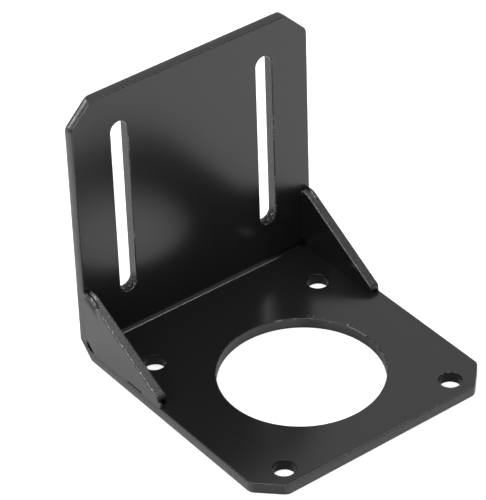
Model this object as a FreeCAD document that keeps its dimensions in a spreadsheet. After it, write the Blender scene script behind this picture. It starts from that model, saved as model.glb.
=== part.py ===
import FreeCAD, Part
import Sketcher
import math
import os

# Motor mounting bracket, a folded steel sheet with two welded gussets, in millimetres.
# Origin: the axis of the large bore, on the underside of the base plate.
# +Z points up along the bore, +Y towards the upright plate, X along the bend.

os.makedirs("parts", exist_ok=True)
doc = FreeCAD.newDocument("motor_bracket")
V = FreeCAD.Vector


# Driving dimensions

SIZES = [
    ("width", 64.7, "plate width, along the bend"),
    ("depth", 68.6, "front edge of the base to the back of the upright"),
    ("height", 67.8, "underside of the base to the top of the upright"),
    ("sheet", 2.75, "thickness of the folded sheet"),
    ("bend_inner", 1.0, "inner radius of the fold"),
    ("bend_neck", 0.8, "sheet left outside the fold's inner corner where its ends are ground"),
    ("corner_cut", 5.9, "cut on each free corner of the plates"),
    ("corner_round", 2.2, "rounding where a corner cut meets an edge"),
    ("edge_round", 0.25, "rounding of the edges along the outline of a plate"),
    ("deburr", 0.12, "small chamfer on the edges of the bore, bolt holes and slots"),
    ("bore_diameter", 38.3, "large bore for the motor's pilot"),
    ("bore_to_front", 28.65, "bore axis to the front edge of the base"),
    ("bolt_spacing", 47.14, "side of the square of bolt holes"),
    ("bolt_diameter", 5.2, "bolt holes"),
    ("slot_spacing", 40.0, "distance between the two slots"),
    ("slot_width", 4.5, "width of each slot"),
    ("slot_length", 46.2, "length of each slot, end to end"),
    ("slot_to_base", 10.7, "lower end of a slot above the base plate"),
    ("gusset_sheet", 2.4, "thickness of a gusset"),
    ("gusset_rise", 16.5, "height at which the slope would meet the upright"),
    ("gusset_crown", 15.4, "height of the gusset's cut-off top above the base plate"),
    ("gusset_clip", 2.8, "corner clipped off beside the fold"),
    ("gusset_crown_round", 4.0, "rounding of the gusset's top"),
    ("gusset_foot_round", 0.8, "rounding of the gusset's foot"),
    ("left_run", 31.3, "distance at which the left slope would meet the base plate"),
    ("left_foot", 26.9, "left gusset, upright to blunt foot"),
    ("right_run", 28.15, "distance at which the right slope would meet the base plate"),
    ("right_foot", 25.3, "right gusset, upright to blunt foot"),
    ("gap_start", 15.4, "open stretch of the left joint, from the upright"),
    ("gap_length", 5.3, "length of that open stretch"),
    ("gap_height", 0.45, "height of that open stretch"),
    ("bead_half_length", 2.9, "weld bead, half its length down the slope"),
    ("bead_half_width", 1.3, "weld bead, half its width"),
    ("bead_half_height", 1.1, "weld bead, half its height before the plates cut it"),
    ("bead_sink", 0.4, "depth of the bead's middle under the gusset's edge"),
    ("bead_inset", 1.0, "bead's middle from the plate's side"),
]

sheet = doc.addObject("Spreadsheet::Sheet", "Sizes")
for row, (alias, value, meaning) in enumerate(SIZES, 1):
    sheet.set("A%d" % row, meaning)
    sheet.set("B%d" % row, str(value))
    sheet.setAlias("B%d" % row, alias)
doc.recompute()

# Places that follow from the driving dimensions

FRONT = "-Sizes.bore_to_front"
BACK = "(Sizes.depth - Sizes.bore_to_front)"
INNER = "(Sizes.depth - Sizes.bore_to_front - Sizes.sheet)"
SIDE = "Sizes.width / 2"

# How close two places count as the same one, and from which angle an edge counts as sharp

TOLERANCE = 1e-4
SHARP_ANGLE = math.radians(20)


def size(formula):
    """The present value of a formula of the sheet."""
    result = sheet.evalExpression(formula)
    return float(getattr(result, "Value", result))


# Sketch helpers

def origin_plane(body, role):
    return [f for f in body.Origin.OriginFeatures if f.Role == role][0]


def new_sketch(body, name, role, offset=None, turn=None):
    """A sketch on one of the body's origin planes, moved along its normal and turned about its first axis."""
    sketch = body.newObject("Sketcher::SketchObject", name)
    sketch.AttachmentSupport = (origin_plane(body, role), [""])
    sketch.MapMode = "FlatFace"
    if turn is not None:
        sketch.AttachmentOffset = FreeCAD.Placement(V(), FreeCAD.Rotation(V(1, 0, 0), turn))
    if offset is not None:
        sketch.setExpression("AttachmentOffset.Base.z", offset)
    return sketch


def tie_coordinate(sketch, geometry, point, axis, formula):
    """Ties one coordinate of a sketch point to a formula, measured from the sketch's origin."""
    value = size(formula)
    if same(value, 0):
        across = -2 if axis == "X" else -1
        sketch.addConstraint(Sketcher.Constraint("PointOnObject", geometry, point, across))
        return
    kind = "Distance" + axis
    if value > 0:
        constraint = Sketcher.Constraint(kind, -1, 1, geometry, point, value)
    else:
        constraint = Sketcher.Constraint(kind, geometry, point, -1, 1, -value)
        formula = "-(" + formula + ")"
    index = sketch.addConstraint(constraint)
    sketch.setExpression("Constraints[%d]" % index, formula)


def polygon(sketch, corners):
    """A closed outline through corners, each a pair of formulas."""
    points = [V(size(x), size(y), 0) for x, y in corners]
    lines = []
    for start, end in zip(points, points[1:] + points[:1]):
        lines.append(sketch.addGeometry(Part.LineSegment(start, end), False))
    for line, following in zip(lines, lines[1:] + lines[:1]):
        sketch.addConstraint(Sketcher.Constraint("Coincident", line, 2, following, 1))
    for line, (x, y) in zip(lines, corners):
        tie_coordinate(sketch, line, 1, "X", x)
        tie_coordinate(sketch, line, 1, "Y", y)


def circle(sketch, x, y, diameter):
    index = sketch.addGeometry(Part.Circle(V(size(x), size(y), 0), V(0, 0, 1), size(diameter) / 2), False)
    tie_coordinate(sketch, index, 3, "X", x)
    tie_coordinate(sketch, index, 3, "Y", y)
    driven = sketch.addConstraint(Sketcher.Constraint("Diameter", index, size(diameter)))
    sketch.setExpression("Constraints[%d]" % driven, diameter)


def upright_slot(sketch, middle, low, length, width):
    """A slot with round ends: two arcs, two sides, all tangent."""
    radius = size(width) / 2
    x, bottom = size(middle), size(low) + radius
    top = size(low) + size(length) - radius
    upper = Part.Circle(V(x, top, 0), V(0, 0, 1), radius)
    lower = Part.Circle(V(x, bottom, 0), V(0, 0, 1), radius)
    arc_top = sketch.addGeometry(Part.ArcOfCircle(upper, 0, math.pi), False)
    arc_low = sketch.addGeometry(Part.ArcOfCircle(lower, math.pi, 2 * math.pi), False)
    left = sketch.addGeometry(Part.LineSegment(V(x - radius, top, 0), V(x - radius, bottom, 0)), False)
    right = sketch.addGeometry(Part.LineSegment(V(x + radius, bottom, 0), V(x + radius, top, 0)), False)
    for first, first_end, second, second_end in (
            (arc_top, 2, left, 1), (left, 2, arc_low, 1), (arc_low, 2, right, 1), (right, 2, arc_top, 1)):
        sketch.addConstraint(Sketcher.Constraint("Tangent", first, first_end, second, second_end))
    sketch.addConstraint(Sketcher.Constraint("Vertical", left))
    driven = sketch.addConstraint(Sketcher.Constraint("Radius", arc_low, radius))
    sketch.setExpression("Constraints[%d]" % driven, width + " / 2")
    tie_coordinate(sketch, arc_low, 3, "X", middle)
    tie_coordinate(sketch, arc_low, 3, "Y", low + " + " + width + " / 2")
    tie_coordinate(sketch, arc_top, 3, "Y", low + " + " + length + " - " + width + " / 2")


# Feature helpers

def add_pad(body, name, sketch, length, midplane=False):
    pad = body.newObject("PartDesign::Pad", name)
    pad.Profile = sketch
    pad.Midplane = midplane
    pad.setExpression("Length", length)
    doc.recompute()
    return pad


def add_pocket(body, name, sketch):
    """A pocket through everything, to both sides of its sketch."""
    before = body.Shape.Volume
    pocket = body.newObject("PartDesign::Pocket", name)
    pocket.Profile = sketch
    pocket.Midplane = True
    pocket.Type = "ThroughAll"
    doc.recompute()
    if not pocket.Shape.Volume < before:
        raise RuntimeError(name + " cut nothing")
    return pocket


def add_mirrors(body, name, feature, roles):
    """Copies a feature across one or two of the body's origin planes."""
    if len(roles) == 1:
        mirrored = body.newObject("PartDesign::Mirrored", name)
        mirrored.Originals = [feature]
        mirrored.MirrorPlane = (origin_plane(body, roles[0]), [""])
        body.Tip = mirrored
        doc.recompute()
        return mirrored
    pattern = body.newObject("PartDesign::MultiTransform", name)
    steps = []
    for number, role in enumerate(roles, 1):
        step = doc.addObject("PartDesign::Mirrored", name + "Step%d" % number)
        body.addObject(step)
        step.MirrorPlane = (origin_plane(body, role), [""])
        steps.append(step)
    pattern.Originals = [feature]
    pattern.Transformations = steps
    body.Tip = pattern
    doc.recompute()
    return pattern


def edge_names(feature, wanted):
    return ["Edge%d" % i for i, edge in enumerate(feature.Shape.Edges, 1) if wanted(edge)]


def same(first, second):
    """True for two lengths that are equal but for rounding."""
    return abs(first - second) < TOLERANCE


def straight_along(edge, direction):
    """True for a straight edge parallel to direction, a vector of length one."""
    if not isinstance(edge.Curve, (Part.Line, Part.LineSegment)):
        return False
    return edge.tangentAt(edge.FirstParameter).cross(direction).Length < TOLERANCE


def middle_of(edge):
    return edge.valueAt((edge.FirstParameter + edge.LastParameter) / 2)


def add_dress(body, kind, name, feature, edges, measure, formula):
    """A fillet or chamfer of one size on the named edges of the feature."""
    if not edges:
        raise RuntimeError(name + " found no edges")
    dress = body.newObject("PartDesign::" + kind, name)
    dress.Base = (feature, edges)
    dress.setExpression(measure, formula)
    doc.recompute()
    return dress


def sharp_edges(feature, wanted):
    """Names of the wanted edges where two faces meet at a clear angle."""
    names = []
    shape = feature.Shape
    for i, edge in enumerate(shape.Edges, 1):
        faces = shape.ancestorsOfType(edge, Part.Face)
        if len(faces) != 2 or not wanted(edge):
            continue
        point = middle_of(edge)
        normals = [face.normalAt(*face.Surface.parameter(point)) for face in faces]
        if normals[0].getAngle(normals[1]) > SHARP_ANGLE:
            names.append("Edge%d" % i)
    return names


# Folded plate: base and upright from one sheet

def folded_plate():
    body = doc.addObject("PartDesign::Body", "FoldedPlate")
    body.Label = "folded_plate"
    inner, back = size(INNER), size(BACK)
    side, front, thick, top = size(SIDE), size(FRONT), size("Sizes.sheet"), size("Sizes.height")

    profile = new_sketch(body, "PlateProfile", "YZ_Plane")
    polygon(profile, [
        (FRONT, "0"), (BACK, "0"), (BACK, "Sizes.height"),
        (INNER, "Sizes.height"), (INNER, "Sizes.sheet"), (FRONT, "Sizes.sheet")])
    angle = add_pad(body, "Angle", profile, "Sizes.width", midplane=True)

    # the fold, round inside and out
    def fold_edge(feature, y, z):
        return edge_names(feature, lambda edge: straight_along(edge, V(1, 0, 0))
                          and middle_of(edge).isEqual(V(0, y, z), TOLERANCE))
    fold = add_dress(body, "Fillet", "FoldOutside", angle, fold_edge(angle, back, 0),
                     "Radius", "Sizes.bend_inner + Sizes.sheet")
    fold = add_dress(body, "Fillet", "FoldInside", fold, fold_edge(fold, inner, thick),
                     "Radius", "Sizes.bend_inner")

    # cut corners at the free ends of both plates
    def free_corner(edge):
        m = middle_of(edge)
        at_front = straight_along(edge, V(0, 0, 1)) and same(m.y, front)
        at_top = straight_along(edge, V(0, 1, 0)) and same(m.z, top)
        return same(abs(m.x), side) and (at_front or at_top)
    cut = add_dress(body, "Chamfer", "CutCorners", fold, edge_names(fold, free_corner),
                    "Size", "Sizes.corner_cut")
    reach = size("Sizes.corner_cut") + TOLERANCE

    def beside_cut(edge):
        m = middle_of(edge)
        at_front = straight_along(edge, V(0, 0, 1)) and m.y < front + reach
        at_top = straight_along(edge, V(0, 1, 0)) and m.z > top - reach
        return at_front or at_top
    blank = add_dress(body, "Fillet", "RoundCorners", cut, edge_names(cut, beside_cut),
                      "Radius", "Sizes.corner_round")
    outline = [middle_of(edge) for edge in blank.Shape.Edges]

    # bore, bolt holes and slots
    sketch = new_sketch(body, "BoreSketch", "XY_Plane")
    circle(sketch, "0", "0", "Sizes.bore_diameter")
    add_pocket(body, "Bore", sketch)
    sketch = new_sketch(body, "BoltHoleSketch", "XY_Plane")
    circle(sketch, "Sizes.bolt_spacing / 2", "Sizes.bolt_spacing / 2", "Sizes.bolt_diameter")
    hole = add_pocket(body, "BoltHole", sketch)
    add_mirrors(body, "BoltHoles", hole, ["YZ_Plane", "XZ_Plane"])
    sketch = new_sketch(body, "SlotSketch", "XZ_Plane")
    upright_slot(sketch, "Sizes.slot_spacing / 2", "(Sizes.sheet + Sizes.slot_to_base)",
                 "Sizes.slot_length", "Sizes.slot_width")
    slot = add_pocket(body, "Slot", sketch)
    whole = add_mirrors(body, "Slots", slot, ["YZ_Plane"])

    # every edge broken: the openings deburred with a small chamfer, the sheet's outline rounded
    def on_outline(edge):
        return any(middle_of(edge).isEqual(point, TOLERANCE) for point in outline)
    deburred = add_dress(body, "Chamfer", "DeburredOpenings", whole,
                         sharp_edges(whole, lambda edge: not on_outline(edge)), "Size", "Sizes.deburr")
    add_dress(body, "Fillet", "RoundOutline", deburred,
              sharp_edges(deburred, on_outline), "Radius", "Sizes.edge_round")

    # weld run ground flush between each gusset and the plate's side, with one open stretch on the left
    weld_run(body, "Left", "-" + SIDE, [
        ("Sizes.gusset_clip", "Sizes.gap_start"),
        ("(Sizes.gap_start + Sizes.gap_length)", "Sizes.left_foot")])
    weld_run(body, "Right", SIDE + " - Sizes.edge_round", [("Sizes.gusset_clip", "Sizes.right_foot")])

    # both ends of the fold ground back outside its inner corner
    near = "Sizes.bend_neck"
    far = "(Sizes.bend_neck + Sizes.bend_inner + 2 * Sizes.sheet)"
    sketch = new_sketch(body, "FoldEndSketch", "XY_Plane", turn=-45)
    sketch.setExpression("AttachmentOffset.Base.y", INNER)
    sketch.setExpression("AttachmentOffset.Base.z", "Sizes.sheet")
    polygon(sketch, [
        (SIDE, near), (SIDE, far), (SIDE + " - (" + far + " - " + near + ")", far)])
    end = add_pocket(body, "FoldEnd", sketch)
    add_mirrors(body, "FoldEnds", end, ["YZ_Plane"])
    return body


def weld_run(body, name, offset, base_stretches):
    """Fills the broken edge of the plate under a gusset: stretches of the base, then one of the upright."""
    under = "(Sizes.sheet - Sizes.edge_round)"
    behind = "(" + INNER + " + Sizes.edge_round)"
    sketch = new_sketch(body, name + "WeldSketch", "YZ_Plane", offset=offset)
    for start, end in base_stretches:
        polygon(sketch, [
            (INNER + " - " + end, under), (INNER + " - " + start, under),
            (INNER + " - " + start, "Sizes.sheet"), (INNER + " - " + end, "Sizes.sheet")])
    low, high = "(Sizes.sheet + Sizes.gusset_clip)", "(Sizes.sheet + Sizes.gusset_crown)"
    polygon(sketch, [(INNER, low), (behind, low), (behind, high), (INNER, high)])
    return add_pad(body, name + "Weld", sketch, "Sizes.edge_round")


# Gussets: flat plates standing on the base against the upright

def gusset(name, offset, run, foot, open_joint):
    body = doc.addObject("PartDesign::Body", "Gusset" + name.capitalize())
    body.Label = "gusset_" + name
    slope = "(Sizes.gusset_rise / " + run + ")"
    crown_y = INNER + " - (Sizes.gusset_rise - Sizes.gusset_crown) / " + slope
    foot_y = INNER + " - " + foot
    foot_z = "Sizes.sheet + Sizes.gusset_rise - " + slope + " * " + foot
    crown_z = "Sizes.sheet + Sizes.gusset_crown"
    profile = new_sketch(body, name.capitalize() + "Profile", "YZ_Plane", offset=offset)
    polygon(profile, [
        (INNER, "Sizes.sheet + Sizes.gusset_clip"), (INNER, crown_z), (crown_y, crown_z),
        (foot_y, foot_z), (foot_y, "Sizes.sheet"), (INNER + " - Sizes.gusset_clip", "Sizes.sheet")])
    plate = add_pad(body, name.capitalize() + "Plate", profile, "Sizes.gusset_sheet")

    # rounded top and foot, then the broken edges along them
    for label, y, z, radius in (
            ("Crown", crown_y, crown_z, "Sizes.gusset_crown_round"),
            ("Foot", foot_y, foot_z, "Sizes.gusset_foot_round")):
        corner = edge_names(plate, lambda edge: straight_along(edge, V(1, 0, 0))
                            and same(middle_of(edge).y, size(y)) and same(middle_of(edge).z, size(z)))
        plate = add_dress(body, "Fillet", name.capitalize() + label, plate, corner, "Radius", radius)
    joint, base = size(INNER), size("Sizes.sheet")
    clip = size("Sizes.gusset_clip")

    def free_edge(edge):
        m = middle_of(edge)
        along_joint = same(m.y, joint) or same(m.z, base)
        clipped = m.y > joint - clip and m.z < base + clip
        return not along_joint and not clipped and not straight_along(edge, V(1, 0, 0))
    plate = add_dress(body, "Fillet", name.capitalize() + "Edges", plate,
                      sharp_edges(plate, free_edge), "Radius", "Sizes.edge_round")
    if open_joint:
        gap = new_sketch(body, name.capitalize() + "GapSketch", "YZ_Plane")
        low, high = "(Sizes.sheet - Sizes.gap_height)", "(Sizes.sheet + Sizes.gap_height)"
        near, far = INNER + " - Sizes.gap_start", INNER + " - Sizes.gap_start - Sizes.gap_length"
        polygon(gap, [(far, low), (near, low), (near, high), (far, high)])
        add_pocket(body, name.capitalize() + "Gap", gap)
    return body


# Weld beads: a rounded bead down each gusset's top edge, flush with the plate's side

def weld_bead(name, side_sign, run, plate):
    slope = "(Sizes.gusset_rise / " + run + ")"
    bead = doc.addObject("Part::Ellipsoid", "Bead" + name.capitalize())
    bead.setExpression("Radius1", "Sizes.bead_half_height")
    bead.setExpression("Radius2", "Sizes.bead_half_width")
    bead.setExpression("Radius3", "Sizes.bead_half_length")
    bead.Placement.Rotation = FreeCAD.Rotation(V(1, 0, 0), math.degrees(math.atan(size(slope))))
    bead.setExpression("Placement.Rotation.Angle", "atan(" + slope + ")")
    bead.setExpression("Placement.Base.x", side_sign + "(" + SIDE + " - Sizes.bead_inset)")
    bead.setExpression("Placement.Base.y", INNER + " - (Sizes.gusset_rise - Sizes.gusset_crown) / " + slope)
    bead.setExpression("Placement.Base.z", "Sizes.sheet + Sizes.gusset_crown - Sizes.bead_sink")

    # the space between the plate's two sides, in front of the upright
    space = doc.addObject("Part::Box", "Space" + name.capitalize())
    space.setExpression("Length", "Sizes.width")
    space.setExpression("Width", "Sizes.depth")
    space.setExpression("Height", "Sizes.height")
    space.setExpression("Placement.Base.x", "-" + SIDE)
    space.setExpression("Placement.Base.y", INNER + " - Sizes.depth")
    space.setExpression("Placement.Base.z", "Sizes.sheet")
    inside = doc.addObject("Part::Common", "Inside" + name.capitalize())
    inside.Base = bead
    inside.Tool = space

    weld = doc.addObject("Part::Cut", "Weld" + name.capitalize())
    weld.Base = inside
    weld.Tool = plate
    weld.Label = "weld_" + name
    doc.recompute()
    return weld


plate = folded_plate()
left = gusset("left", "-" + SIDE, "Sizes.left_run", "Sizes.left_foot", True)
right = gusset("right", SIDE + " - Sizes.gusset_sheet", "Sizes.right_run", "Sizes.right_foot", False)
weld_left = weld_bead("left", "-", "Sizes.left_run", left)
weld_right = weld_bead("right", "", "Sizes.right_run", right)
nodes = [plate, left, right, weld_left, weld_right]

# Checks, then one file for each piece

for obj in doc.Objects:
    if "Invalid" in obj.State or "Error" in obj.State:
        raise RuntimeError(obj.Name + " failed")
for node in nodes:
    if node.Shape.isNull() or not node.Shape.isValid():
        raise RuntimeError(node.Label + " has no valid shape")
for node in nodes:
    node.Shape.exportStep("parts/%s.step" % node.Label)
    box = node.Shape.BoundBox
    print("%-13s %d solid, %.1f mm3, x %.2f..%.2f y %.2f..%.2f z %.2f..%.2f" % (
        node.Label, len(node.Shape.Solids), node.Shape.Volume,
        box.XMin, box.XMax, box.YMin, box.YMax, box.ZMin, box.ZMax))
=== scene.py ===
# %% [markdown]
# # A motor mounting bracket in black paint
# The bracket is a folded steel sheet with a gusset welded into each end of the fold, and all of it
# is painted semi-gloss black. Its solids come packed, in metres, with the origin on the axis of the
# large bore, at the underside of the base. They stay where they are, and this lesson gives them
# their looks.

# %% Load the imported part
import math
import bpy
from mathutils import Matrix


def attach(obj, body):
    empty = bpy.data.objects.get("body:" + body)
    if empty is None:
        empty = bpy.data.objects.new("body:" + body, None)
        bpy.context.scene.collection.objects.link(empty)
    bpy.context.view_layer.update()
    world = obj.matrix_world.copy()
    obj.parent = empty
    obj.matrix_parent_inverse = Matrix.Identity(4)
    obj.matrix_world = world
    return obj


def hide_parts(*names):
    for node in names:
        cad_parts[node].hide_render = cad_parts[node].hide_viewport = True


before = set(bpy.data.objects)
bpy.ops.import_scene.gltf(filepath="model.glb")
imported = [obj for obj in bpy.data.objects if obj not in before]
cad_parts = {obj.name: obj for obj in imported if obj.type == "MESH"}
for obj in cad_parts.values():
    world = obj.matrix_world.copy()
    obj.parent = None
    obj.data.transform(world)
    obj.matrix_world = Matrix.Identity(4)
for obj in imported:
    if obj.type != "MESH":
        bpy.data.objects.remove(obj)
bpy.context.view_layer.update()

from types import SimpleNamespace

import bpy
from mathutils import Matrix, Vector

MM = 0.001
print("nodes:", sorted(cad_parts))

# %% [markdown]
# ## The camera
# The view looks down on the bracket from its front left with a long lens, so that parallel edges
# stay nearly parallel. A camera has no field for this, so its place is worked out: a point that it
# looks at, a bearing, a height and a small roll. Azimuth 0 looks along +Y. The picture is 486 by
# 500, so the sensor's 36 mm lie along its height.

# %% Place the camera
LOOK_AT = Vector((-35.141, -27.25, 68.885)) * MM
AZIMUTH, ELEVATION, ROLL = math.radians(-36.401), math.radians(36.621), math.radians(-2.061)
DISTANCE = 609.787 * MM
SENSOR_WIDTH, FOCAL_LENGTH = 36, 219.83
NEAREST, FARTHEST = 0.05, 20

back = Vector((math.sin(AZIMUTH) * math.cos(ELEVATION),
               -math.cos(AZIMUTH) * math.cos(ELEVATION),
               math.sin(ELEVATION)))
level = (-back).cross(Vector((0, 0, 1))).normalized()
upward = level.cross(-back)
right = math.cos(ROLL) * level + math.sin(ROLL) * upward
top = math.cos(ROLL) * upward - math.sin(ROLL) * level

camera = bpy.data.objects.new("camera", bpy.data.cameras.new("camera"))
bpy.context.scene.collection.objects.link(camera)
camera.location = LOOK_AT + back * DISTANCE
camera.rotation_mode = "QUATERNION"
camera.rotation_quaternion = Matrix((right, top, back)).transposed().to_quaternion()
camera.data.sensor_width = SENSOR_WIDTH
camera.data.lens = FOCAL_LENGTH
camera.data.clip_start, camera.data.clip_end = NEAREST, FARTHEST
bpy.context.scene.camera = camera
print("camera at", [round(v, 4) for v in camera.location])

# %% [markdown]
# ## Nodes with fewer words
# Materials are graphs of nodes. Some small helpers keep the cells short: one adds a node and sets
# what it needs, one adds a calculation and gives back its result, and the others name what masks
# are made of. A mask is a number at each place, mostly from 0 to 1, and the product of two masks
# is where both hold.


# %% Helpers for node graphs
def add_node(tree, kind, **settings):
    """A node of the tree, with its properties set."""
    node = tree.nodes.new("ShaderNode" + kind)
    for name, value in settings.items():
        setattr(node, name, value)
    return node


def feed(tree, socket, value):
    """Gives a socket a link or a plain value."""
    if isinstance(value, bpy.types.NodeSocket):
        tree.links.new(value, socket)
    else:
        socket.default_value = value


def calc(tree, operation, *values):
    """One Math node; values are sockets or numbers."""
    node = add_node(tree, "Math", operation=operation)
    for socket, value in zip(node.inputs, values):
        feed(tree, socket, value)
    return node.outputs[0]


def chain(tree, operation, first, *others):
    """One calculation after another, from the first value to the last."""
    for value in others:
        first = calc(tree, operation, first, value)
    return first


def times(tree, *values):
    """The product of the values."""
    return chain(tree, "MULTIPLY", *values)


def plus(tree, *values):
    """The sum of the values."""
    return chain(tree, "ADD", *values)


def minus(tree, first, second):
    """The first value less the second."""
    return calc(tree, "SUBTRACT", first, second)


def largest(tree, *values):
    """The largest of the values."""
    return chain(tree, "MAXIMUM", *values)


def opposite(tree, mask):
    """1 where the mask is 0, and 0 where it is 1."""
    return minus(tree, 1.0, mask)


def above(tree, value, limit):
    """1 where the value is above the limit."""
    return calc(tree, "GREATER_THAN", value, limit)


def below(tree, value, limit):
    """1 where the value is below the limit."""
    return calc(tree, "LESS_THAN", value, limit)


def between(tree, value, low, high):
    """1 where the value lies between low and high."""
    return times(tree, above(tree, value, low), below(tree, value, high))


def ramp(tree, value, start, end, to_start=0.0, to_end=1.0):
    """A smooth step as the value goes from start to end."""
    node = add_node(tree, "MapRange", interpolation_type="SMOOTHSTEP")
    for name, setting in (("Value", value), ("From Min", start), ("From Max", end),
                          ("To Min", to_start), ("To Max", to_end)):
        feed(tree, node.inputs[name], setting)
    return node.outputs["Result"]


def unsigned(tree, value):
    """The value without its sign."""
    return calc(tree, "ABSOLUTE", value)


def square(tree, value, middle):
    """The square of how far the value is from the middle."""
    off = minus(tree, value, middle)
    return times(tree, off, off)


def split(tree, vector):
    """The three numbers of a vector."""
    node = add_node(tree, "SeparateXYZ")
    feed(tree, node.inputs[0], vector)
    return node.outputs["X"], node.outputs["Y"], node.outputs["Z"]


def grey(value):
    """A colour with the same red, green and blue."""
    return value, value, value, 1


def mix_colour(tree, factor, first, second):
    """The first colour where the factor is 0, and the second where it is 1."""
    node = add_node(tree, "Mix", data_type="RGBA")
    feed(tree, node.inputs["Factor"], factor)
    feed(tree, node.inputs["A"], first)
    feed(tree, node.inputs["B"], second)
    return node.outputs["Result"]


# %% [markdown]
# ## The floor
# Black paint shows little colour of its own: what is seen on it is the room. The upright mirrors
# the base, the pale floor beside it and the floor through the bore. So the floor glows a little for
# mirror rays as well as for the camera, and the rest of its white comes from the room, so that it
# is darker close under the metal, and the paint mirrors that too. For mirror rays only, the floor's
# colour is darkened towards the bore's edge, a painted shade which gives the pale patch on the
# upright its soft end.

# %% Floor
FLOOR_SIZE = 6
FLOOR_WHITE, FLOOR_SHADED = 0.9, 0.3
GLOW_SEEN, GLOW_MIRRORED = 0.55, 0.1
SHADE_MIDDLE = Vector((1, 4, 0)) * MM
SHADE_START, SHADE_FULL, SHADE_END = 9 * MM, 20 * MM, 26 * MM

bpy.ops.object.select_all(action="DESELECT")
bpy.ops.mesh.primitive_plane_add(size=FLOOR_SIZE, location=(0, 0, 0))
floor = bpy.context.object
floor.name = "floor"

floor_paint = bpy.data.materials.new("pale floor")
floor_paint.use_nodes = True
tree = floor_paint.node_tree
tree.nodes.clear()

path = add_node(tree, "LightPath")
mirrored = largest(tree, path.outputs["Is Glossy Ray"], path.outputs["Is Transmission Ray"])
from_middle = add_node(tree, "VectorMath", operation="DISTANCE")
feed(tree, from_middle.inputs[0], add_node(tree, "TexCoord").outputs["Object"])
from_middle.inputs[1].default_value = SHADE_MIDDLE
away = from_middle.outputs["Value"]
# painted shade: for mirror rays only, the floor's colour darkens towards the bore's edge
shaded = times(tree, mirrored, below(tree, away, SHADE_END),
               ramp(tree, away, SHADE_START, SHADE_FULL))

matt = add_node(tree, "BsdfDiffuse")
feed(tree, matt.inputs["Color"],
     mix_colour(tree, shaded, grey(FLOOR_WHITE), grey(FLOOR_SHADED)))
glow = add_node(tree, "Emission")
feed(tree, glow.inputs["Strength"],
     largest(tree, times(tree, path.outputs["Is Camera Ray"], GLOW_SEEN),
             times(tree, mirrored, GLOW_MIRRORED)))
both = add_node(tree, "AddShader")
feed(tree, both.inputs[0], matt.outputs[0])
feed(tree, both.inputs[1], glow.outputs[0])
feed(tree, add_node(tree, "OutputMaterial").inputs["Surface"], both.outputs[0])
floor.data.materials.append(floor_paint)
print("floor paint:", len(tree.nodes), "nodes")

# %% [markdown]
# ## The room
# The room is an even pale grey, darker near the horizon, with soft lights in it. Each light is a
# smooth patch in the world's light, so it has no hard edge in the paint. A patch falls off as the
# direction turns away from its middle, and a larger focus makes it narrower. One patch has a
# strength below zero and darkens the room. A camera ray sees plain white instead, so that the
# background is white from every side.

# %% Studio light
ROOM = 0.55
HORIZON_SHARE = 0.15
HORIZON_START, HORIZON_END = 0.02, 0.22
PATCHES = (  # name, azimuth from +Y towards +X, elevation, strength, focus
    ("low light behind the left", 330, 20, 6.5, 70),
    ("large light on the left", 264, 38, 2.5, 22),
    ("faint light overhead", 0, 90, 0.4, 8),
    ("thin line along the fold", 91, 65.5, 24.0, 900),
    ("sparks on rims and welds", 222, 76, 44.0, 450),
    ("shade on the right", 150, 40, -0.42, 14),
)

world = bpy.data.worlds.new("studio")
world.use_nodes = True
bpy.context.scene.world = world
tree = world.node_tree
direction = add_node(tree, "TexCoord").outputs["Generated"]
room_light = ROOM
for name, azimuth, elevation, strength, focus in PATCHES:
    turn, rise = math.radians(azimuth), math.radians(elevation)
    towards = add_node(tree, "VectorMath", operation="DOT_PRODUCT")
    feed(tree, towards.inputs[0], direction)
    towards.inputs[1].default_value = (
        math.sin(turn) * math.cos(rise), math.cos(turn) * math.cos(rise), math.sin(rise))
    turned_away = minus(tree, towards.outputs["Value"], 1.0)
    patch = calc(tree, "EXPONENT", times(tree, turned_away, float(focus)))
    room_light = plus(tree, times(tree, patch, strength), room_light)
height_in_sky = split(tree, direction)[2]
room_light = times(tree, room_light,
                   ramp(tree, height_in_sky, HORIZON_START, HORIZON_END, to_start=HORIZON_SHARE))
seen = add_node(tree, "LightPath").outputs["Is Camera Ray"]
background = tree.nodes["Background"]
background.inputs["Color"].default_value = grey(1)
feed(tree, background.inputs["Strength"],
     plus(tree, times(tree, room_light, opposite(tree, seen)), seen))
print("patches of light:", [patch[0] for patch in PATCHES])

# %% [markdown]
# ## What the paint does at an edge
# Paint can't lie sharply over a corner: it draws back from an outer edge and fills an inner one, so
# every edge of the real bracket has a soft line of its own. The CAD edges are broken flat. A bevel
# of the real size all round would need many thin faces, so the rounding is done in the shading
# instead. The Bevel node turns the normal near an edge, and how far it has turned it says where the
# rim is.

# %% Group: rounded rim
RIM_START, RIM_FULL = 0.985, 0.86  # cosines of how far the normal has turned


def new_group(name, takes, gives):
    """A shader node group with named sockets, and its two end nodes."""
    tree = bpy.data.node_groups.new(name, "ShaderNodeTree")
    for in_out, sockets in (("INPUT", takes), ("OUTPUT", gives)):
        for label, kind in sockets:
            tree.interface.new_socket(
                name=label, in_out=in_out, socket_type="NodeSocket" + kind)
    return (tree, tree.nodes.new("NodeGroupInput").outputs,
            tree.nodes.new("NodeGroupOutput").inputs)


rounded_rim, takes, gives = new_group(
    "rounded rim", [("Radius", "Float")], [("Normal", "Vector"), ("Rim", "Float")])
bevel = add_node(rounded_rim, "Bevel", samples=8)
feed(rounded_rim, bevel.inputs["Radius"], takes["Radius"])
turned = add_node(rounded_rim, "VectorMath", operation="DOT_PRODUCT")
feed(rounded_rim, turned.inputs[0], bevel.outputs["Normal"])
feed(rounded_rim, turned.inputs[1], add_node(rounded_rim, "NewGeometry").outputs["True Normal"])
feed(rounded_rim, gives["Normal"], bevel.outputs["Normal"])
feed(rounded_rim, gives["Rim"], ramp(rounded_rim, turned.outputs["Value"], RIM_START, RIM_FULL))
print("rounded rim:", len(rounded_rim.nodes), "nodes")

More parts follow.
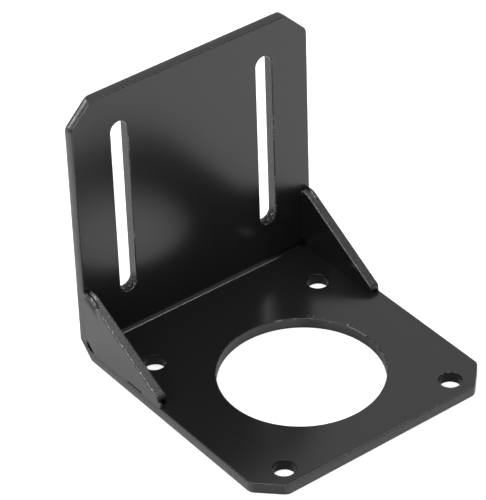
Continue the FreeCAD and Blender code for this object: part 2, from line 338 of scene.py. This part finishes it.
# %% [markdown]
# ## The skin of the paint
# Sprayed paint dries with a faint waviness, called orange peel. It is seen only where a reflection
# ends, as a slightly uneven line. Two sizes of noise make it, one for the slow waves and one for
# the grain, and the material says how high each of them is.

# %% Group: paint skin
WAVE_SIZE, GRAIN_SIZE = 7.0, 0.7


def noise(tree, place, size, detail=1.0):
    """Noise from 0 to 1, with lumps about size across; place and size are in mm."""
    node = add_node(tree, "TexNoise")
    feed(tree, node.inputs["Vector"], place)
    node.inputs["Scale"].default_value = 1 / size
    node.inputs["Detail"].default_value = detail
    return node.outputs["Fac"]


paint_skin, takes, gives = new_group(
    "paint skin", [("Place", "Vector"), ("Waves", "Float"), ("Grain", "Float")],
    [("Height", "Float")])
waves = times(paint_skin, noise(paint_skin, takes["Place"], WAVE_SIZE, 2.0), takes["Waves"])
grain = times(paint_skin, noise(paint_skin, takes["Place"], GRAIN_SIZE, 2.0), takes["Grain"])
feed(paint_skin, gives["Height"], plus(paint_skin, waves, grain))
print("paint skin:", len(paint_skin.nodes), "nodes")

# %% [markdown]
# ## Cut faces
# The edges of the sheet, the slots and the bores were cut, not rolled. Paint over a cut face stays
# lumpy, with small dull pits among glossier spots. The group gives the lumps' height and a mask of
# the dull spots.

# %% Group: cut face
LUMP_SIZE, PIT_SIZE = 1.6, 0.55
DULL_START, DULL_FULL = 0.42, 0.62

cut_face, takes, gives = new_group(
    "cut face", [("Place", "Vector"), ("Lumps", "Float"), ("Pits", "Float")],
    [("Height", "Float"), ("Dull", "Float")])
lumps = noise(cut_face, takes["Place"], LUMP_SIZE)
pits = noise(cut_face, takes["Place"], PIT_SIZE, 2.0)
feed(cut_face, gives["Height"], plus(
    cut_face, times(cut_face, lumps, takes["Lumps"]), times(cut_face, pits, takes["Pits"])))
mean = plus(cut_face, times(cut_face, lumps, 0.5), times(cut_face, pits, 0.5))
feed(cut_face, gives["Dull"], ramp(cut_face, mean, DULL_START, DULL_FULL))
print("cut face:", len(cut_face.nodes), "nodes")

# %% [markdown]
# ## Flecks on the rims
# Along some of the rims there are tiny pale flecks, partly rubbed paint and partly painted glints,
# pale colour that stands in for small highlights. A fine noise decides where a fleck lies and a
# slow one which stretches of the rim have any. A larger amount lowers the level that the fine noise
# has to pass.

# %% Group: flecks of wear and painted glint
FLECK_SIZE, STRETCH_SIZE = 0.5, 6.0
FLECK_LEVEL, FLECK_EDGE = 0.86, 0.06
STRETCH_START, STRETCH_FULL = 0.35, 0.65

wear_and_glint_flecks, takes, gives = new_group(
    "flecks of wear and glint", [("Place", "Vector"), ("Rim", "Float"), ("Amount", "Float")],
    [("Fleck", "Float")])
fine = noise(wear_and_glint_flecks, takes["Place"], FLECK_SIZE)
slow = noise(wear_and_glint_flecks, takes["Place"], STRETCH_SIZE)
lowered = times(
    wear_and_glint_flecks, takes["Amount"], ramp(wear_and_glint_flecks, slow, STRETCH_START, STRETCH_FULL))
passed_by = minus(wear_and_glint_flecks, fine, minus(wear_and_glint_flecks, FLECK_LEVEL, lowered))
feed(wear_and_glint_flecks, gives["Fleck"], times(
    wear_and_glint_flecks, ramp(wear_and_glint_flecks, passed_by, 0.0, FLECK_EDGE), takes["Rim"]))
print("flecks of wear and glint:", len(wear_and_glint_flecks.nodes), "nodes")

# %% [markdown]
# ## A coat of black paint
# The Principled BSDF stays in the material. The paint's colour and gloss are the same all over, so
# they are set on the shader's own sockets. What changes over the surface comes from the groups: the
# height of the skin and of the lumps goes through a Bump node to the normal, and the pits make the
# coat rougher. Each piece adds what it needs to these two before they are laid.

# %% What every coat shares
PAINT, GLOSS, SMOOTH = grey(0.0105), 0.85, 0.2
WAVES, GRAIN = 0.012 * MM, 0.0006 * MM
LUMPS, PITS, PIT_ROUGH = 0.012 * MM, 0.008 * MM, 0.16


def in_mm(tree):
    """The place on the object, in mm."""
    node = add_node(tree, "VectorMath", operation="SCALE")
    feed(tree, node.inputs[0], add_node(tree, "TexCoord").outputs["Object"])
    node.inputs["Scale"].default_value = 1 / MM
    return node.outputs["Vector"]


def use_group(tree, group, **values):
    """Places a group and feeds its inputs by name."""
    node = add_node(tree, "Group", node_tree=group)
    for label, value in values.items():
        feed(tree, node.inputs[label], value)
    return node.outputs


def new_paint(name):
    """A black material, its tree, its shader's sockets and the place on the object."""
    material = bpy.data.materials.new(name)
    material.use_nodes = True
    tree = material.node_tree
    coat = tree.nodes["Principled BSDF"].inputs
    coat["Base Color"].default_value = PAINT
    coat["Specular IOR Level"].default_value = GLOSS
    return material, tree, coat, in_mm(tree)


def uneven(tree, place, lumps=LUMPS, pits=PITS, cut=1.0):
    """The height of the paint, with lumps where it is cut, and how rough the pits make it."""
    skin = use_group(tree, paint_skin, Place=place, Waves=WAVES, Grain=GRAIN)
    edge = use_group(tree, cut_face, Place=place, Lumps=lumps, Pits=pits)
    return (plus(tree, skin["Height"], times(tree, edge["Height"], cut)),
            times(tree, edge["Dull"], cut, PIT_ROUGH))


def lay(tree, coat, height, roughness):
    """Feeds the height and the roughness to the shader, and gives the Bump node."""
    bump = add_node(tree, "Bump")
    bump.inputs["Strength"].default_value = 1.0
    bump.inputs["Distance"].default_value = 1.0
    feed(tree, bump.inputs["Height"], height)
    feed(tree, coat["Normal"], bump.outputs["Normal"])
    feed(tree, coat["Roughness"], roughness)
    return bump


def cover(node, material):
    """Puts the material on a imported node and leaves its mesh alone."""
    for holder in node.material_slots:
        holder.link = "OBJECT"
        holder.material = material


# %% [markdown]
# ## Rims, worn places and painted shade
# The plate and the gussets have rims, and the rims are rougher. The rims and the places of painted
# shade are also darkened so that they mirror little, a painted shade for the dark that the real
# bracket mirrors there. The specular level can't change over a surface, so Metallic does that: a
# metal as dark as this paint reflects almost nothing. Where a rim is worn it keeps its gloss in
# small spots, and in a few of them pale flecks are painted, partly rubbed metal and partly painted
# glints.

# %% Paint with rims
RIM_RADIUS, RIM_SHADE, RIM_ROUGH = 0.30 * MM, 0.85, 0.6
# the pale colour of the rim flecks: partly rubbed metal, partly painted glints
RUBBED_AND_GLINT, WORN_AND_GLINT_FLECKS = (0.75, 0.75, 0.76, 1), 0.22
SPOT_SIZE, SPOT_LEVEL = 0.9, (0.45, 0.6)
CHIP_AND_GLINT_SIZE, CHIP_AND_GLINT_LEVEL = 0.5, (0.70, 0.75)


def rimmed_paint(name, find, lumps=LUMPS, pits=PITS, flecks=0.36, rounding=RIM_RADIUS):
    """Black paint with rims; find gives the masks cut, rim and worn_and_glinting, the painted shade
    and the height.
    """
    material, tree, coat, place = new_paint(name)
    where = find(tree, place)
    rim = use_group(tree, rounded_rim, Radius=times(tree, where["rim"], rounding))
    spots = use_group(tree, wear_and_glint_flecks, Place=place, Rim=rim["Rim"],
                      Amount=plus(tree, times(tree, where["worn_and_glinting"], WORN_AND_GLINT_FLECKS), flecks))
    glossy = times(tree, where["worn_and_glinting"], ramp(tree, noise(tree, place, SPOT_SIZE), *SPOT_LEVEL))
    # pale chips on the worn rims: partly rubbed metal, partly painted glints
    chip_and_glint = times(tree, where["worn_and_glinting"], ramp(tree, noise(tree, place, CHIP_AND_GLINT_SIZE), *CHIP_AND_GLINT_LEVEL))
    fleck = largest(tree, spots["Fleck"], chip_and_glint)
    # the rims that keep no gloss: rougher, and darkened below as painted shade
    rough_shaded_rim = times(tree, rim["Rim"], opposite(tree, glossy))

    height, pitted = uneven(tree, place, lumps, pits, where["cut"])
    bump = lay(tree, coat, plus(tree, height, where["height"]),
               plus(tree, pitted, SMOOTH, times(tree, rough_shaded_rim, RIM_ROUGH)))
    feed(tree, bump.inputs["Normal"], rim["Normal"])
    # painted glints: the flecks are given a pale colour, partly for rubbed metal
    feed(tree, coat["Base Color"], mix_colour(tree, fleck, PAINT, RUBBED_AND_GLINT))
    # painted shade: Metallic darkens the rims and the places of painted shade, but not the pale
    # flecks
    shade = largest(tree, times(tree, rough_shaded_rim, RIM_SHADE), where["shade"])
    feed(tree, coat["Metallic"], times(tree, shade, opposite(tree, fleck)))
    print(name, "has", len(tree.nodes), "nodes")
    return material


# %% [markdown]
# ## Where the plate was rolled and where it was cut
# One material covers the whole folded plate, so it has to know which face it is on. A rolled face
# of the upright looks along Y and one of the base along Z, and in the fold it is square to X.
# Whatever looks another way there was cut. All masks of the plate start from the same few values,
# which are worked out once. A pair of numbers is where a smooth step starts and ends, or the two
# limits of a stretch.

# %% Cut faces of the plate
CUT_LOOK = 0.97, 0.7
UPRIGHT_FROM_Y, BASE_TO_Z = 35.5, 4.5


def looks(tree):
    """How squarely the surface looks along X, Y and Z, each from 0 to 1."""
    return [unsigned(tree, part)
            for part in split(tree, add_node(tree, "TexCoord").outputs["Normal"])]


def survey(tree, place):
    """The place in mm, the way the surface looks, and whether it is on the upright or the base."""
    at = SimpleNamespace()
    at.x, at.y, at.z = split(tree, place)
    at.off_x, at.off_y = unsigned(tree, at.x), unsigned(tree, at.y)
    at.look_x, at.look_y, at.look_z = looks(tree)
    at.upright, at.base = above(tree, at.y, UPRIGHT_FROM_Y), below(tree, at.z, BASE_TO_Z)
    return at


def cut_faces(tree, at):
    """The mask of the plate's cut faces."""
    rolled = largest(tree, times(tree, at.upright, at.look_y), times(tree, at.base, at.look_z),
                     times(tree, at.upright, at.base, opposite(tree, at.look_x)))
    return ramp(tree, rolled, *CUT_LOOK)


# %% [markdown]
# ## Crowned edges
# Sheared and ground edges are a little round across the sheet. Their height falls off with the
# square of the distance from the sheet's middle, most of all on the corner cuts at the top of the
# upright.

# %% Crowned edges of the plate
CORNER_LOOK = 0.55, 0.68
UPRIGHT_MIDDLE_Y, BASE_MIDDLE_Z = 38.575, 1.375
SIDE_FROM_X, TOP_FROM_Z, FRONT_TO_Y = 31.6, 67.0, -27.9
CORNERS_FROM_Z, WELDS_TO_Z = 60.0, 19.0
CROWN_FALL, UPRIGHT_CROWN, BASE_CROWN = 0.16 * MM, 0.5, 0.4


def crowned_edges(tree, at):
    """The height that the edges lose towards their rims."""
    near_side = above(tree, at.off_x, SIDE_FROM_X)
    top_corner = times(tree, above(tree, at.z, CORNERS_FROM_Z),
                       ramp(tree, at.look_x, *CORNER_LOOK), ramp(tree, at.look_z, *CORNER_LOOK))
    upright_edge = times(tree, above(tree, at.z, WELDS_TO_Z),
                         largest(tree, near_side, above(tree, at.z, TOP_FROM_Z)), UPRIGHT_CROWN)
    base_edge = times(tree, at.base, largest(tree, near_side, below(tree, at.y, FRONT_TO_Y)),
                      BASE_CROWN)
    crown = plus(tree,
                 times(tree, square(tree, at.y, UPRIGHT_MIDDLE_Y),
                       largest(tree, top_corner, upright_edge)),
                 times(tree, square(tree, at.z, BASE_MIDDLE_Z), base_edge))
    return times(tree, crown, -CROWN_FALL)


# %% [markdown]
# ## Lumpy places and painted shade
# At the slots' lower ends the paint gathered in lumps, and it is darkened a little there. In the
# bolt holes, at the far end of the fold and on the front corner cuts the coat is darkened, a
# painted shade for the shadowed floor and corner that these places mirror.

# %% Lumpy places and painted shade on the plate
SLOT_X, SLOT_REACH, SLOT_END_Z = 20.0, 2.6, (17.2, 15.6)
RUN_SIZE, RUN_HEIGHT, RUN_SHADE = 0.8, 0.4 * MM, 0.35
HOLE_XY, HOLE_REACH = 23.57, (3.1, 2.75)
FAR_FOLD_X, FAR_FOLD_Y, FAR_FOLD_Z = (17.0, 24.0), (35.9, 36.6), (4.1, 3.5)
# how much painted shade darkens the bolt holes, the far end of the fold, the front corner cuts and
# the gussets' lower ends
PAINTED_SHADE, FAR_FOLD_SHADE, FRONT_CUT_SHADE = 0.85, 0.8, 0.35


def from_axis(tree, x, y, middle=0.0):
    """How far the place is from an upright axis whose X and Y are both middle."""
    return calc(tree, "SQRT", plus(tree, square(tree, x, middle), square(tree, y, middle)))


def slot_ends(tree, at, cut):
    """The mask of the slots' lower ends."""
    from_slot = unsigned(tree, minus(tree, at.off_x, SLOT_X))
    return times(tree, below(tree, from_slot, SLOT_REACH), at.upright,
                 ramp(tree, at.z, *SLOT_END_Z), cut)


def painted_shade_places(tree, at, cut):
    """The mask of painted shade: the bolt holes, the far end of the fold and the front corner cuts.
    """
    from_hole = from_axis(tree, at.off_x, at.off_y, HOLE_XY)
    hole = times(tree, at.base, ramp(tree, from_hole, *HOLE_REACH), cut)
    far_fold = times(tree, ramp(tree, at.x, *FAR_FOLD_X), ramp(tree, at.y, *FAR_FOLD_Y),
                     ramp(tree, at.z, *FAR_FOLD_Z), FAR_FOLD_SHADE)
    front_corner = times(tree, at.base, ramp(tree, at.look_x, *CORNER_LOOK),
                         ramp(tree, at.look_y, *CORNER_LOOK), FRONT_CUT_SHADE)
    return largest(tree, far_fold, hole, front_corner)


# %% [markdown]
# ## Black paint on the plate
# Two masks are still missing: the joints with the gussets, where the plate has no rim, and a
# stretch of the bore's rim with flecks, partly wear and partly painted glints. Then the plate can
# be painted.

# %% Black paint on the plate
JOINT_FROM_X, JOINT_Y, JOINT_Z = 31.2, (10.3, 37.9), (2.0, 18.0)
# the stretch of the bore's rim with flecks of wear and painted glints
WORN_GLINT_X, WORN_GLINT_Y, WORN_GLINT_Z, WORN_GLINT_REACH = (12.0, 15.0), (0.0, 3.0), (2.4, 3.0), (20.3, 19.8)


def joints(tree, at):
    """The mask of the places where a gusset or a weld joins the plate."""
    return times(tree, above(tree, at.off_x, JOINT_FROM_X), between(tree, at.y, *JOINT_Y),
                 between(tree, at.z, *JOINT_Z))


def worn_and_glinting_stretch(tree, at):
    """The mask of the stretch of the bore's rim with flecks of wear and painted glints."""
    return times(tree, between(tree, at.z, *WORN_GLINT_Z),
                 ramp(tree, from_axis(tree, at.x, at.y), *WORN_GLINT_REACH),
                 ramp(tree, at.y, *WORN_GLINT_Y), ramp(tree, at.x, *WORN_GLINT_X))


def find_on_plate(tree, place):
    """Where the plate is cut, rimmed, worn and glinting, or given painted shade, and how high its
    paint is.
    """
    at = survey(tree, place)
    cut = cut_faces(tree, at)
    slot_end = slot_ends(tree, at, cut)
    lumps = times(tree, noise(tree, place, RUN_SIZE), slot_end, RUN_HEIGHT)
    return {"cut": cut, "rim": opposite(tree, joints(tree, at)), "worn_and_glinting": worn_and_glinting_stretch(tree, at),
            "shade": largest(tree, times(tree, painted_shade_places(tree, at, cut), PAINTED_SHADE),
                             times(tree, slot_end, RUN_SHADE)),
            "height": plus(tree, crowned_edges(tree, at), lumps)}


cover(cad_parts["folded_plate"], rimmed_paint("black paint on the plate", find_on_plate))

# %% [markdown]
# ## Black paint on the gussets
# A gusset's two large faces look along X and are rolled. Its sloping edge was sheared, so it is
# cut, and the small face at its lower end is darkened, a painted shade for the shadow under its
# tip.
# Under the left bead the weld was ground down together with the gusset's corner, so the side rolls
# inwards there towards the slope, and the grinding went on over the top. The outer edge of the left
# slope has flecks, partly wear and partly painted glints. The two slopes differ a little, and the
# left one serves for both. Only the slope has rims, because the rest is welded.

# %% Black paint on the gussets
SLOPE_RISE, SLOPE_START = 0.5277, -0.58  # the left slope: z = rise * y + start
OPEN_RIM_BELOW = 2.1
GROUND_BELOW, GROUND_Y, GROUND_SIDE_X, GROUND_CROWN = 2.6, (31.0, 33.4), -32.3, 0.7
TOP_FROM_Y, TOP_CROWN = 34.3, -0.78
END_Y, END_Z, END_RIGHT_RISE = (12.2, 11.8), (4.2, 3.9), 0.6
EDGE_SIDE_X, EDGE_Y, EDGE_BELOW = -32.0, (11.0, 27.0), (0.5, 0.3)


def find_on_gusset(tree, place):
    """Where a gusset is cut, rimmed, worn and glinting, or given painted shade, and how high its
    paint is.
    """
    x, y, z = split(tree, place)
    under = minus(tree, plus(tree, times(tree, y, SLOPE_RISE), SLOPE_START), z)
    cut = ramp(tree, looks(tree)[0], *CUT_LOOK)
    rolled_in = largest(tree, minus(tree, GROUND_BELOW, under), 0.0)
    ground_side = times(tree, rolled_in, rolled_in, ramp(tree, y, *GROUND_Y),
                        below(tree, x, GROUND_SIDE_X), GROUND_CROWN)
    over = largest(tree, minus(tree, y, TOP_FROM_Y), 0.0)
    ground_top = times(tree, over, over, cut, TOP_CROWN)
    raised = plus(tree, z, times(tree, above(tree, x, 0.0), END_RIGHT_RISE))
    # painted shade on the small face at the lower end, for the shadow under the tip
    end = times(tree, cut, ramp(tree, y, *END_Y), ramp(tree, raised, *END_Z))
    # the outer edge of the left slope: flecks of wear and painted glints
    worn_and_glinting = times(tree, below(tree, x, EDGE_SIDE_X), between(tree, y, *EDGE_Y),
                 ramp(tree, under, *EDGE_BELOW))
    return {"cut": cut, "rim": below(tree, under, OPEN_RIM_BELOW), "worn_and_glinting": worn_and_glinting,
            "shade": times(tree, end, PAINTED_SHADE),
            "height": times(tree, plus(tree, ground_side, ground_top), -CROWN_FALL)}


gusset_paint = rimmed_paint("black paint on the gussets", find_on_gusset, lumps=0.002 * MM,
                            pits=0.0005 * MM, flecks=0.45, rounding=0.45 * MM)
for name in ("gusset_left", "gusset_right"):
    cover(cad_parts[name], gusset_paint)

# %% [markdown]
# ## Black paint on the welds
# A weld has no rims. It is finely uneven all over and a little smoother than the sheet, and its
# height falls off towards the side, where it was ground.

# %% Black paint on the welds
WELD_LUMPS, WELD_PITS, WELD_SMOOTH = 0.0015 * MM, 0.0002 * MM, 0.1
WELD_FROM_X, WELD_CROWN = 31.4, 0.4

weld_paint, tree, coat, place = new_paint("black paint on the welds")
weld_height, weld_pitted = uneven(tree, place, WELD_LUMPS, WELD_PITS)
off_x = unsigned(tree, split(tree, place)[0])
ground = times(tree, square(tree, off_x, WELD_FROM_X), WELD_CROWN, -CROWN_FALL)
lay(tree, coat, plus(tree, weld_height, ground), plus(tree, weld_pitted, WELD_SMOOTH))
for name in ("weld_left", "weld_right"):
    cover(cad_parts[name], weld_paint)
print("weld paint:", len(tree.nodes), "nodes")

# %% [markdown]
# ## Weld beads
# A weld bead is a row of metal puddles that froze over one another. It could be carved from one
# long lump, but a row of flattened balls shows how it came about: each is set a little further down
# the slope, they are joined, a Remesh modifier melts them into one skin, and a Smooth modifier
# relaxes the creases. The bead is then cut flat along the bracket's side, as the real ones were
# ground. The work is done in mm and the finished mesh is shrunk to metres about the origin.

# %% Melt a row of puddles into a bead
SLOPE = math.atan(SLOPE_RISE)
SKIN = 0.08
CREASE = math.radians(40)


def puddle(place, size, tilt):
    """One flattened ball at its place in mm, tilted down the slope."""
    bpy.ops.mesh.primitive_uv_sphere_add(segments=24, ring_count=12, radius=1, location=place)
    ball = bpy.context.object
    bpy.ops.object.mode_set(mode="EDIT")
    bpy.ops.mesh.select_all(action="SELECT")
    bpy.ops.transform.resize(value=size, center_override=place)
    bpy.ops.transform.rotate(value=tilt, orient_axis="X", center_override=place)
    bpy.ops.object.mode_set(mode="OBJECT")
    return ball


def bead(name, puddles, material, side=None, tilt=-SLOPE, relax=8):
    """Joins the puddles to one closed piece in metres, flat on the side plane if there is one."""
    bpy.ops.object.select_all(action="DESELECT")
    balls = [puddle(place, size, tilt) for place, size in puddles]
    for ball in balls:
        ball.select_set(True)
    bpy.ops.object.join()
    piece = bpy.context.object
    piece.name = piece.data.name = name
    bpy.ops.object.transform_apply(location=True, rotation=True, scale=True)
    melt = piece.modifiers.new("melt", "REMESH")
    melt.mode, melt.voxel_size = "VOXEL", SKIN
    calm = piece.modifiers.new("calm", "SMOOTH")
    calm.factor, calm.iterations = 0.5, relax
    for modifier in (melt, calm):
        bpy.ops.object.modifier_apply(modifier=modifier.name)
    bpy.ops.object.mode_set(mode="EDIT")
    bpy.ops.mesh.select_all(action="SELECT")
    if side:
        bpy.ops.mesh.bisect(plane_co=(side, 0, 0), plane_no=(math.copysign(1, side), 0, 0),
                            use_fill=True, clear_outer=True)
        bpy.ops.mesh.select_all(action="SELECT")
    bpy.ops.transform.resize(value=(MM, MM, MM), center_override=(0, 0, 0))
    bpy.ops.mesh.normals_make_consistent(inside=False)
    bpy.ops.object.mode_set(mode="OBJECT")
    bpy.ops.object.shade_smooth_by_angle(angle=CREASE)
    piece.data.materials.append(material)
    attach(piece, "root")
    print(name, "has", len(piece.data.polygons), "faces")
    return piece


# %% [markdown]
# The left bead lies on the outer half of the gusset's slope, from the upright about 5 mm down, and
# ends bluntly. The right one is low and nearly hidden. Both stand for the plain beads of the packed
# part. Each puddle is given by its place and by its reach across, along and above the slope.

# %% Beads at the tops of the gussets
SIDE = 32.34
left_bead = bead("left_weld", [
    ((-31.75, 36.3, 17.72), (0.80, 1.7, 0.75)),
    ((-31.75, 35.0, 17.45), (0.80, 2.2, 0.85)),
    ((-31.75, 33.9, 16.95), (0.78, 1.9, 0.80)),
], weld_paint, side=-SIDE)
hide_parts("weld_left")

right_bead = bead("right_weld", [
    ((31.75, 36.6, 17.70), (0.74, 1.3, 0.60)),
    ((31.75, 35.4, 17.55), (0.74, 1.8, 0.65)),
    ((31.75, 34.4, 17.05), (0.72, 1.6, 0.60)),
], weld_paint, side=SIDE)
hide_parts("weld_right")

# %% [markdown]
# ## Toe of the left gusset
# At its lower end the left gusset has a small lump of weld on its outer corner, which runs down
# onto the base.

# %% Toe weld
bead("toe_weld", [
    ((-32.05, 10.9, 3.75), (0.60, 0.75, 1.05)),
    ((-31.95, 10.4, 3.10), (0.70, 0.95, 0.75)),
], weld_paint, side=-SIDE, tilt=0.0)

# %% [markdown]
# ## Thick paint in the slots
# Wet paint ran down the two slots and dried at their lower ends in small lumps. The left run is a
# little thicker. The material of both has the lumps and the shade of the slots' ends all over.

# %% Runs of paint
SLOT_FOOT = 13.45

run_paint, tree, coat, place = new_paint("thick paint")
run_height, run_pitted = uneven(tree, place)
swell = times(tree, noise(tree, place, RUN_SIZE), RUN_HEIGHT)
lay(tree, coat, plus(tree, run_height, swell), plus(tree, run_pitted, SMOOTH))
coat["Metallic"].default_value = RUN_SHADE
print("thick paint:", len(tree.nodes), "nodes")

for name, middle, rise in (("left_run", -SLOT_X, 0.22), ("right_run", SLOT_X, 0.10)):
    bead(name, [
        ((middle - 0.9, 38.1, SLOT_FOOT + 0.30), (0.75, 0.80, 0.32 + rise)),
        ((middle + 0.1, 38.9, SLOT_FOOT + 0.02), (0.90, 0.85, 0.34 + rise)),
        ((middle + 0.9, 38.0, SLOT_FOOT + 0.22), (0.70, 0.60, 0.36 + rise)),
        ((middle + 1.5, 38.8, SLOT_FOOT + 0.62), (0.50, 0.75, 0.40)),
        ((middle - 0.1, 37.7, SLOT_FOOT + 0.00), (0.60, 0.45, 0.30 + rise)),
    ], run_paint, tilt=0.0, relax=3)

# %% Finish
bpy.context.scene.view_settings.view_transform = "Standard"
